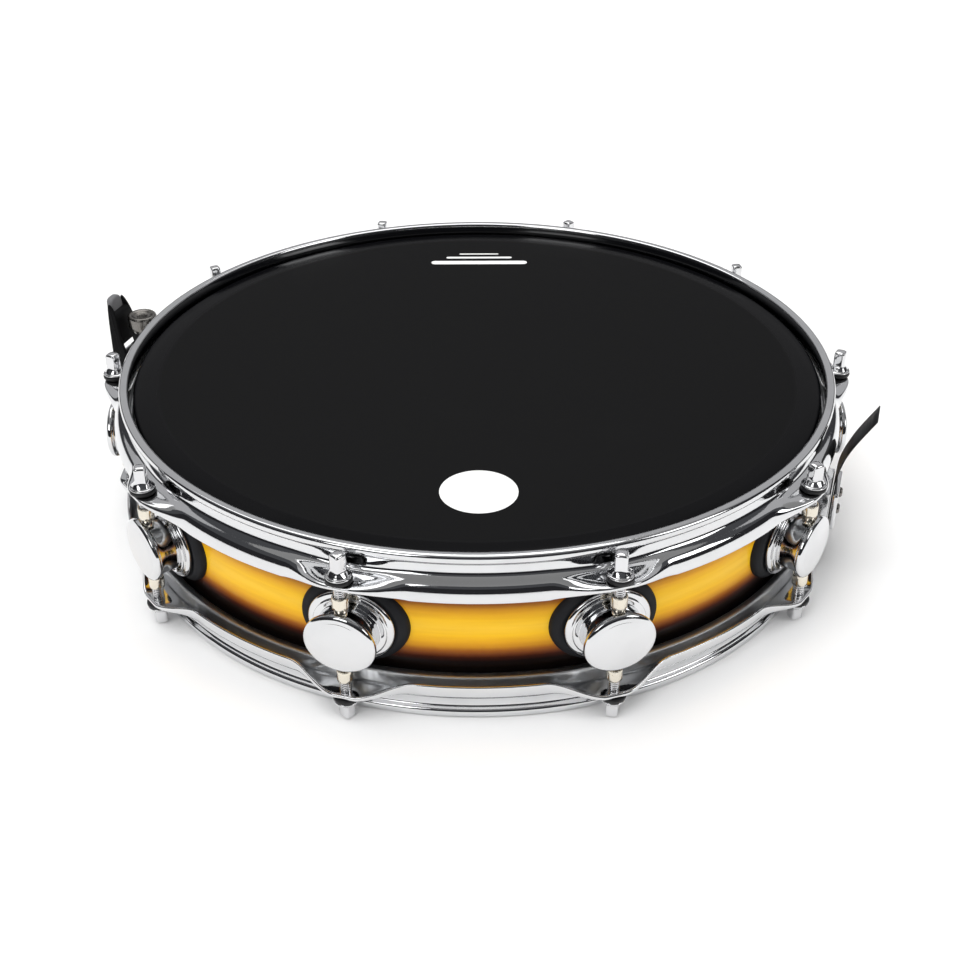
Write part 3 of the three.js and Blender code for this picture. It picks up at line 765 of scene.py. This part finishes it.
class DRUM_OT_lugs(bpy.types.Operator):
    """Adds the round lugs with their threaded inserts, and the rubber gaskets behind them"""

    bl_idname = "drum.lugs"
    bl_label = "Lugs"

    def execute(self, context):
        spool = softened([
            (180.8, 3.0), (180.8, 17.7), (181.1, 18.2), (182.4, 18.3), (183.3, 17.6), (183.6, 16.5), (183.7, 15.6),
            (184.4, 15.5), (184.7, 15.1), (184.75, 14.0), (184.8, 13.0), (185.2, 13.0), (189.6, 13.2), (193.6, 13.5),
            (194.1, 13.9), (194.3, 14.6), (194.7, 15.0), (195.9, 15.05), (196.7, 14.8), (197.4, 13.9), (197.75, 12.8),
            (197.86, 12.2), (197.76, 11.9), (197.92, 11.6), (198.2, 10.0), (198.42, 5.0), (198.5, 1.0),
        ], 2, False)
        insert = [(61.0, 2.95), (61.0, 3.5), (61.25, 3.72), (66.9, 3.72), (67.25, 3.45), (67.25, 3.0), (66.8, 2.85),
                  (61.4, 2.85)]
        neck = [(52.0, 0.8), (52.0, 2.85), (61.2, 2.85), (61.2, 0.8)]
        for number, azimuth in enumerate(LUG_AZIMUTHS, start=1):
            add_piece(f"lug_{number:02d}_chrome", [tube(outward_turning(azimuth, spool, 72, oval=1.12))],
                      finish("lug_chrome"), "drum_body", [f"lug_{number:02d}"])
            parts = []
            for below in (False, True):
                for shape, maker in ((softened(insert, 1, True), torus), (neck, tube)):
                    profile = np.array(shape)
                    if below:
                        profile[:, 0] = HEIGHT - profile[:, 0]
                    parts.append(maker(upright_turning(azimuth, ROD_CIRCLE, profile, 32)))
            add_piece(f"lug_{number:02d}_inserts", parts, finish("warm_nickel"), "drum_body")
            add_piece(f"gasket_{number:02d}_rubber", [self.gasket(azimuth)], finish("rubber"), "drum_body",
                      [f"lug_gasket_{number:02d}"])
        return {"FINISHED"}

    @staticmethod
    def gasket(azimuth):
        """An oval pad: across = 25.5 s cos t, up = 21 s sin t; its front is flat and rolls down to the
        shell as (1 - s^p)^(1/q), and its back lies on the shell's curve."""
        share = np.concatenate([np.linspace(0.06, 0.8, 5), 1 - 0.2 * (1 - np.linspace(0, 1, 12)[1:]) ** 2])[:, None]
        angle = np.linspace(0, 2 * np.pi, 96, endpoint=False)
        across, up = 25.5 * share * np.cos(angle), 21.0 * share * np.sin(angle)
        shell = np.sqrt(178.0 ** 2 - across ** 2)
        rise = np.clip(1 - share ** 12, 0, 1) ** (1 / 2.6)
        step = 0.45 * np.clip((0.93 - share) / 0.04, 0, 1) * np.clip((share - 0.80) / 0.04, 0, 1)
        front = at(azimuth, shell + (180.45 + step - shell) * rise, across, MID + up)
        back = at(azimuth, shell[::-1] - 0.25, across[::-1], MID + up[::-1])
        return tube(np.concatenate([front, back]))


class DRUM_OT_rods(bpy.types.Operator):
    """Adds the threaded, square-headed tension rods and their nylon washers"""

    bl_idname = "drum.rods"
    bl_label = "Tension Rods"

    def execute(self, context):
        pitch = context.scene.drum_sizes.thread_pitch / MM
        seat = EAR_TOP + 0.3
        angle = np.linspace(0, 2 * np.pi, 24, endpoint=False)
        turns = np.arange(seat - 27.0, seat - 0.4, pitch / 5)
        thread = 2.72 - 0.36 * (0.5 + 0.5 * np.cos(2 * np.pi * (turns[:, None] / pitch) - angle)) ** 0.7
        head = np.array([
            (seat - 0.2, 2.6, 2), (seat + 2.05, 2.6, 2), (seat + 2.1, 5.0, 2), (seat + 2.25, 5.7, 2),
            (seat + 2.6, 5.95, 2), (seat + 2.95, 5.8, 2), (seat + 3.2, 5.2, 2), (seat + 3.35, 4.9, 2),
            (seat + 3.9, 4.5, 2.1), (seat + 4.6, 3.95, 2.5), (seat + 5.2, 3.3, 3.5), (seat + 5.8, 2.95, 6),
            (seat + 6.4, 2.85, 9), (seat + 11.3, 2.8, 9), (seat + 11.9, 2.7, 7), (seat + 12.35, 2.4, 4),
            (seat + 12.6, 1.9, 2.6), (seat + 12.7, 0.9, 2),
        ])
        head_radius = head[:, 1:2] * superellipse(angle[None] + math.radians(27), head[:, 2:3])
        rows = np.concatenate([turns, head[:, 0]])
        radius = np.concatenate([thread, head_radius])
        washer = softened([(seat, 2.75), (seat, 5.6), (seat + 0.3, 6.1), (seat + 1.6, 6.1), (seat + 1.95, 5.7),
                           (seat + 2.0, 2.75)], 2, True)
        for side in ("batter", "snare"):
            for number, azimuth in enumerate(LUG_AZIMUTHS, start=1):
                flip = (lambda height: HEIGHT - height) if side == "snare" else (lambda height: height)
                longer = rows + (1.05 * (rows > seat + 7) if side == "batter" else 0)
                rings = at(azimuth, ROD_CIRCLE + radius * np.cos(angle), radius * np.sin(angle),
                           flip(np.repeat(longer[:, None], len(angle), axis=1)))
                body = f"rod_{side}_{number:02d}"
                add_piece(f"{body}_steel", [tube(rings)], finish("rod_chrome"), body,
                          [f"tension_rod_{side}_{number:02d}"])
                profile = washer.copy()
                profile[:, 0] = flip(profile[:, 0])
                add_piece(f"{body}_washer", [torus(upright_turning(azimuth, ROD_CIRCLE, profile, 36))],
                          finish("nylon"), body)
        return {"FINISHED"}


def cap_screw(azimuth, out, across, up, size=2.6):
    """A domed screw head with a six-sided socket, facing out of the drum."""
    angle = np.linspace(0, 2 * np.pi, 24, endpoint=False)
    hexagon = np.cos(np.pi / 6) / np.cos((angle % (np.pi / 3)) - np.pi / 6)
    rows = [(0.0, size), (0.5, size * 1.02), (1.2, size * 0.9), (1.6, size * 0.62)]
    radius = [np.full(24, r) for _, r in rows] + [hexagon * size * 0.5, hexagon * size * 0.48]
    depth = np.array([d for d, _ in rows] + [1.6, 0.5])[:, None]
    radius = np.array(radius)
    return tube(at(azimuth, out + depth + 0 * radius, across + radius * np.cos(angle), up + radius * np.sin(angle)))


def ribbon(azimuth, path, width, thickness, end_width=None):
    """A flat strip: a rounded thin section carried along a path of (out, up) points.

    With an end width it narrows evenly to that width between heights of 50 and 64 mm.
    """
    path = softened(path, 3, False)
    along = np.gradient(path, axis=0)
    along /= np.linalg.norm(along, axis=1, keepdims=True)
    normal = np.stack([-along[:, 1], along[:, 0]], axis=1)
    section = rounded_rectangle((-width / 2, -thickness / 2), (width / 2, thickness / 2), thickness * 0.45, 2)
    share = np.interp(path[:, 1:], (50, 64), (1, (end_width or width) / width))
    across = section[None, :, 0] * share
    out = path[:, :1] + section[None, :, 1] * normal[:, :1]
    up = path[:, 1:] + section[None, :, 1] * normal[:, 1:]
    return tube(at(azimuth, out, across, up))


def narrowed(azimuth, points):
    """The points drawn in across the drum: by nothing up to 56 mm, and by 0.4 of their offset at 86 mm."""
    side = np.array(axes(azimuth)[1])[:2]
    across = points[:, :2] @ side
    pull = 0.4 * np.clip((points[:, 2] - 56) / 30, 0, 1) * across
    return np.column_stack([points[:, :2] - pull[:, None] * side, points[:, 2]])


class DRUM_OT_throw_off(bpy.types.Operator):
    """Adds the throw-off: its body, slide, clamp, tension knob and lever"""

    bl_idname = "drum.throw_off"
    bl_label = "Throw-off"

    def execute(self, context):
        here = THROW_OFF_AZIMUTH
        machined_copy("strainer_body", "throw_off_body", finish("lug_chrome"), "drum_body", 0.8)
        machined_copy("strainer_slide", "throw_off_slide_block", finish("slide_steel"), "throw_off_slide",
                      0.35)
        plate = facing_plate(here, (-13, 16.2), (13, 30.2), 194.1, 196.7, 1.6, 0.6)
        add_piece("throw_off_clamp", [plate], finish("lug_chrome"), "throw_off_slide",
                  ["strainer_clamp_plate"])
        screws = [cap_screw(here, 196.6, across, 23.2, 2.4) for across in (-8.4, 8.4)]
        add_piece("throw_off_clamp_screws", screws, finish("dark_nickel"), "throw_off_slide")
        self.knob(here)
        self.lever(here)
        return {"FINISHED"}

    @staticmethod
    def knob(here):
        """A dished knob: circles that change to a hexagon inside its socket, on a plain screw."""
        angle = np.linspace(0, 2 * np.pi, 48, endpoint=False)
        hexagon = np.cos(np.pi / 6) / np.cos((angle % (np.pi / 3)) - np.pi / 6)
        rows = [(46.0, 1.9, 0), (71.9, 1.9, 0), (72.1, 5.2, 0), (72.6, 5.9, 0), (74.6, 7.2, 0), (75.8, 7.85, 0),
                (76.6, 8.0, 0), (81.2, 8.0, 0), (82.1, 7.75, 0), (82.6, 7.2, 0), (82.7, 6.6, 0), (82.5, 5.7, 0),
                (81.8, 4.8, 0), (81.5, 4.4, 0), (81.45, 3.6, 0), (81.4, 2.75, 1), (79.2, 2.6, 1), (79.1, 0.8, 1)]
        height = np.array([row[0] for row in rows])[:, None]
        radius = np.array([row[1] * (hexagon if row[2] else np.ones(48)) for row in rows])
        ribs = 1 + 0.012 * np.cos(24 * angle) * ((height > 76.2) & (height < 81.6) & (radius > 7.5))
        radius = radius * ribs
        rings = at(here, KNOB_OUT + radius * np.cos(angle), radius * np.sin(angle), height + 0 * radius)
        add_piece("throw_off_knob", [tube(rings)], finish("dark_nickel"), "tension_knob",
                  ["strainer_tension_knob"])

    @staticmethod
    def lever(here):
        """Two cheeks and a handle plate that lean outwards as they rise, with a rounded tip."""
        cheek = softened([(200.6, 45.0), (202.6, 41.4), (209.6, 41.4), (212.0, 45.4), (213.8, 60.0), (216.2, 85.0),
                          (215.4, 90.6), (211.2, 84.4), (208.6, 70.0), (205.6, 62.0), (201.6, 52.0)], 2, True)
        plate = softened([(207.4, 66.4), (210.6, 65.6), (213.6, 68.0), (215.6, 80.0), (215.6, 84.0), (213.6, 84.8),
                          (210.6, 83.0), (209.6, 78.0)], 2, True)
        parts = [side_plate(here, cheek, low, low + 2.5, 0.7) for low in (10.45, -12.95)]
        parts.append(side_plate(here, plate, -11.6, 11.6, 0.8))
        parts = [(narrowed(here, points), faces) for points, faces in parts]
        add_piece("throw_off_lever_arm", parts, finish("lever_black"), "throw_off_lever", ["strainer_lever"])
        across, up, out = slab(softened([(-5.2, 82.0), (5.2, 82.0), (5.2, 89.0), (3.6, 91.6), (-3.6, 91.6),
                                         (-5.2, 89.0)], 3, True), 213.4, 217.4, 1.2)
        tip = tube(at(here, out + (up - 84) * 0.12, across, up))
        add_piece("throw_off_lever_tip", [tip], finish("lever_grey"), "throw_off_lever")
        pin = [(10.0, 2.3), (13.2, 2.3), (13.3, 3.3), (14.3, 3.4), (14.6, 2.9), (14.7, 1.0)]
        heads = []
        for side in (1, -1):
            height, one, other = turned(softened(pin, 1, False), 28)
            heads.append(tube(at(here, 206.075 + one, side * height, 47 + other)))
        add_piece("throw_off_pivot_heads", heads, finish("lug_chrome"), "drum_body")


class DRUM_OT_butt_end(bpy.types.Operator):
    """Adds the butt end's block, its clamp plate and screws"""

    bl_idname = "drum.butt_end"
    bl_label = "Butt End"

    def execute(self, context):
        here = BUTT_AZIMUTH
        machined_copy("butt_body", "butt_block", finish("lug_chrome"), "drum_body", 0.8)
        plate = facing_plate(here, (-13, 24), (13, 45), 191.3, 193.9, 1.8, 0.7)
        add_piece("butt_clamp", [plate], finish("lug_chrome"), "drum_body", ["butt_clamp_plate"])
        screws = [cap_screw(here, 193.8, across, 34.5, 2.6) for across in (-8, 8)]
        add_piece("butt_clamp_screws", screws, finish("dark_nickel"), "drum_body")
        return {"FINISHED"}


class DRUM_OT_straps(bpy.types.Operator):
    """Adds the two plastic straps that hold the snares"""

    bl_idname = "drum.straps"
    bl_label = "Straps"

    def execute(self, context):
        level = STRAP_LEVEL + 0.35
        tail = [(140.5, level), (160, level), (183.5, level), (189.4, level + 0.8), (BUTT_STRAP_OUT, 9.5),
                (BUTT_STRAP_OUT, 24), (BUTT_STRAP_OUT, 46), (191.4, 54), (193.8, 63), (197.2, 71),
                (201.0, 78), (206.4, 87.2)]
        add_piece("butt_strap", [ribbon(BUTT_AZIMUTH, tail, 24.6, 0.5, 17.5)], finish("strap_film"), "drum_body",
                  ["snare_strap_butt"])
        rise = [(140.5, level), (160, level), (186.3, level), (192.2, level + 0.8)]
        rise += [(THROW_OFF_STRAP_OUT, height) for height in (9.0, 12, 15, 20, 30.0)]
        strap = add_piece("throw_off_strap", [ribbon(THROW_OFF_AZIMUTH, rise, 24.6, 0.5)], finish("strap_film"),
                          None, ["snare_strap_strainer"])
        low = at(THROW_OFF_AZIMUTH, THROW_OFF_STRAP_OUT, 0.0, 8.0) * MM
        high = at(THROW_OFF_AZIMUTH, THROW_OFF_STRAP_OUT, 0.0, 16.2) * MM
        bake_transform(strap)
        return {"FINISHED"}


class DRUM_OT_snares(bpy.types.Operator):
    """Adds the coiled snare strands and the plates that hold their ends"""

    bl_idname = "drum.snares"
    bl_label = "Snare Wires"

    def execute(self, context):
        pitch = context.scene.drum_sizes.wire_pitch / MM
        here, strands, half, steps = BUTT_AZIMUTH, 20, 138.0, 8
        turn = np.arange(int(2 * half / pitch) * steps + 1) / steps
        angle = 2 * np.pi * turn
        wire = 0.24
        section = np.array([(math.cos(t), math.sin(t)) for t in (0.0, 2 * np.pi / 3, 4 * np.pi / 3)]) * wire
        along = (-half + turn * pitch)[:, None] + section[None, :, 0]
        radius = 0.62 + section[None, :, 1]
        parts = []
        for strand in range(strands):
            across = (strand - (strands - 1) / 2) * 2.05
            parts.append(tube(at(here, along, across + radius * np.cos(angle)[:, None],
                                 4.15 + radius * np.sin(angle)[:, None])))
        add_piece("snare_strands", parts, finish("wire_steel"), "snare_wire_set", ["snare_wires"])
        plates = []
        for side in (-1, 1):
            outline = rounded_rectangle((side * 142.5 - 8.5, -21.5), (side * 142.5 + 8.5, 21.5), 2.2)
            out, across, up = slab(outline, 2.45, 3.45, 0.3, 2)
            plates.append(tube(at(here, out, across, up)))
        add_piece("snare_end_plates", plates, finish("slide_steel"), "snare_wire_set")
        return {"FINISHED"}


class DRUM_OT_stage(bpy.types.Operator):
    """Sets the floor, soft lights, sky and camera"""

    bl_idname = "drum.stage"
    bl_label = "Stage"

    def execute(self, context):
        self.floor(context)
        self.lights()
        self.sky()
        self.camera()
        self.band("front_flag", (-105, 105), (1, 28), (0.025, 0.025, 0.028))
        self.band("front_grey", (-105, 105), (28, 52), (0.075, 0.077, 0.083))
        self.band("back_flag", (105, 255), (3, 17), (0.05, 0.05, 0.055))
        self.band("back_card", (105, 255), (17, 48), (0.5, 0.5, 0.51))
        context.scene.view_settings.view_transform = "Standard"
        return {"FINISHED"}

    @staticmethod
    def band(name, azimuths, elevations, tone):
        """A card on a sphere about the drum: its radius times (cos e sin a, -cos e cos a, sin e), for
        azimuths a and elevations e over both ranges.

        It shows only in reflections, as a studio's dark flags do.
        """
        azimuth, elevation = np.meshgrid(
            np.radians(np.linspace(*azimuths, CARD_COLUMNS)),
            np.radians(np.linspace(*elevations, CARD_ROWS)), indexing="ij")
        level = np.cos(elevation)
        points = CARD_DISTANCE * np.stack(
            [level * np.sin(azimuth), -level * np.cos(azimuth), np.sin(elevation)], axis=-1)
        corners = np.arange(CARD_COLUMNS * CARD_ROWS).reshape(CARD_COLUMNS, CARD_ROWS)
        faces = np.stack([corners[:-1, :-1], corners[1:, :-1], corners[1:, 1:], corners[:-1, 1:]], axis=-1)
        mesh = bpy.data.meshes.new(name)
        mesh.from_pydata(points.reshape(-1, 3).tolist(), [], faces.reshape(-1, 4).tolist())
        card = bpy.data.objects.new(name, mesh)
        bpy.context.scene.collection.objects.link(card)
        shader = Shader(name)
        weave = shader.noise(40, 2) * 0.3
        darker = tuple(0.7 * part for part in tone)
        mesh.materials.append(shader.set(
            Base_Color=(0.0, 0.0, 0.0), Roughness=1.0, Specular_IOR_Level=0.0,
            Emission_Color=shader.blend(weave, tone, darker), Emission_Strength=1.0))
        card.visible_camera = card.visible_diffuse = card.visible_shadow = False

    @staticmethod
    def floor(context):
        angle = np.linspace(0, 2 * np.pi, 96, endpoint=False)
        rim = np.stack([FLOOR_RADIUS * np.cos(angle), FLOOR_RADIUS * np.sin(angle),
                        np.full(len(angle), -FLOOR_DROP)], axis=1)
        mesh = bpy.data.meshes.new("studio_floor")
        mesh.from_pydata(rim.tolist(), [], [tuple(range(len(angle)))])
        floor = bpy.data.objects.new("studio_floor", mesh)
        context.scene.collection.objects.link(floor)
        shader = Shader("pale_floor")
        tone = tuple(context.scene.drum_colours.floor)
        shade = tuple(0.985 * part for part in tone)
        mesh.materials.append(shader.set(Base_Color=shader.blend(shader.noise(3, 2), tone, shade), Roughness=0.9))

    @staticmethod
    def lights():
        sun = bpy.data.objects.new("soft_sun", bpy.data.lights.new("soft_sun", "SUN"))
        sun.data.energy, sun.data.angle = 1.7, math.radians(50)
        sun.rotation_euler = Vector((0.35, 0.45, -1.4)).to_track_quat("-Z", "Y").to_euler()
        sun.visible_glossy = False
        bpy.context.scene.collection.objects.link(sun)
        for name, place, aim, size, power in (
                ("top_box", (-0.2, 0.6, 1.9), (0, 0, 0.03), 1.6, 14),
                ("front_box", (-1.3, -2.0, 1.9), (0, 0, 0.03), 1.2, 12),
                ("side_box", (1.9, -0.9, 1.3), (0, 0, 0.05), 0.9, 8)):
            data = bpy.data.lights.new(name, "AREA")
            data.shape = "SQUARE"
            data.size = size
            data.energy = power
            light = bpy.data.objects.new(name, data)
            light.location = place
            light.rotation_euler = (Vector(aim) - Vector(place)).to_track_quat("-Z", "Y").to_euler()
            bpy.context.scene.collection.objects.link(light)

    @staticmethod
    def sky():
        """A studio sky: pale low down, greyer higher up, and dark overhead."""
        world = bpy.data.worlds.new("studio_sky")
        world.use_nodes = True
        tree = world.node_tree
        place = tree.nodes.new("ShaderNodeTexCoord")
        split = tree.nodes.new("ShaderNodeSeparateXYZ")
        ramp = tree.nodes.new("ShaderNodeValToRGB")
        stops = [(0.0, 0.93), (0.2, 0.92), (0.45, 0.66), (0.62, 0.5), (0.78, 0.36), (1.0, 0.3)]
        Shader.stops(ramp.color_ramp, [(position, (tone, tone, tone)) for position, tone in stops])
        tree.links.new(place.outputs["Generated"], split.inputs[0])
        tree.links.new(split.outputs["Z"], ramp.inputs[0])
        tree.links.new(ramp.outputs[0], tree.nodes["Background"].inputs["Color"])
        tree.nodes["Background"].inputs["Strength"].default_value = 0.85
        bpy.context.scene.world = world

    @staticmethod
    def camera():
        """The camera stands off from a point just above the drum's middle and looks down at it."""
        target, distance, elevation, turn = Vector((1.494, 0.0, 9.66)) * MM, 776.6 * MM, 32.287, -0.437
        tilt = math.radians(elevation)
        forward = Vector((0, math.cos(tilt), -math.sin(tilt)))
        spin = Matrix.Rotation(math.radians(turn), 3, "Z")
        data = bpy.data.cameras.new("drum_camera")
        data.lens, data.sensor_width = 52.275, 36.0
        data.clip_start = 0.01
        camera = bpy.data.objects.new("drum_camera", data)
        camera.location = spin @ (target - distance * forward)
        look = (spin @ forward).to_track_quat("-Z", "Y")
        camera.rotation_euler = look.to_euler()
        bpy.context.scene.collection.objects.link(camera)
        bpy.context.scene.camera = camera


PIECES = (
    DRUM_OT_hoops, DRUM_OT_shell, DRUM_OT_heads, DRUM_OT_marks, DRUM_OT_lugs, DRUM_OT_rods, DRUM_OT_throw_off,
    DRUM_OT_butt_end, DRUM_OT_straps, DRUM_OT_snares, DRUM_OT_stage,
)


class DRUM_PT_panel(bpy.types.Panel):
    """Lists the drum's pieces and their settings"""

    bl_idname = "DRUM_PT_panel"
    bl_label = "Snare Drum"
    bl_space_type = "VIEW_3D"
    bl_region_type = "UI"
    bl_category = "Snare Drum"

    def draw(self, context):
        layout = self.layout
        for settings in (context.scene.drum_sizes, context.scene.drum_colours):
            for name in settings.bl_rna.properties.keys():
                if name not in ("name", "rna_type"):
                    layout.prop(settings, name)
        for piece in PIECES:
            layout.operator(piece.bl_idname)


CLASSES = (DrumSizes, DrumColours, *PIECES, DRUM_PT_panel)


def register():
    for one in CLASSES:
        bpy.utils.register_class(one)
    bpy.types.Scene.drum_sizes = bpy.props.PointerProperty(type=DrumSizes)
    bpy.types.Scene.drum_colours = bpy.props.PointerProperty(type=DrumColours)


def unregister():
    del bpy.types.Scene.drum_colours
    del bpy.types.Scene.drum_sizes
    for one in reversed(CLASSES):
        bpy.utils.unregister_class(one)


def main():
    register()
    for piece in PIECES:
        group, name = piece.bl_idname.split(".")
        getattr(getattr(bpy.ops, group), name)()


if __name__ == "__main__":
    main()
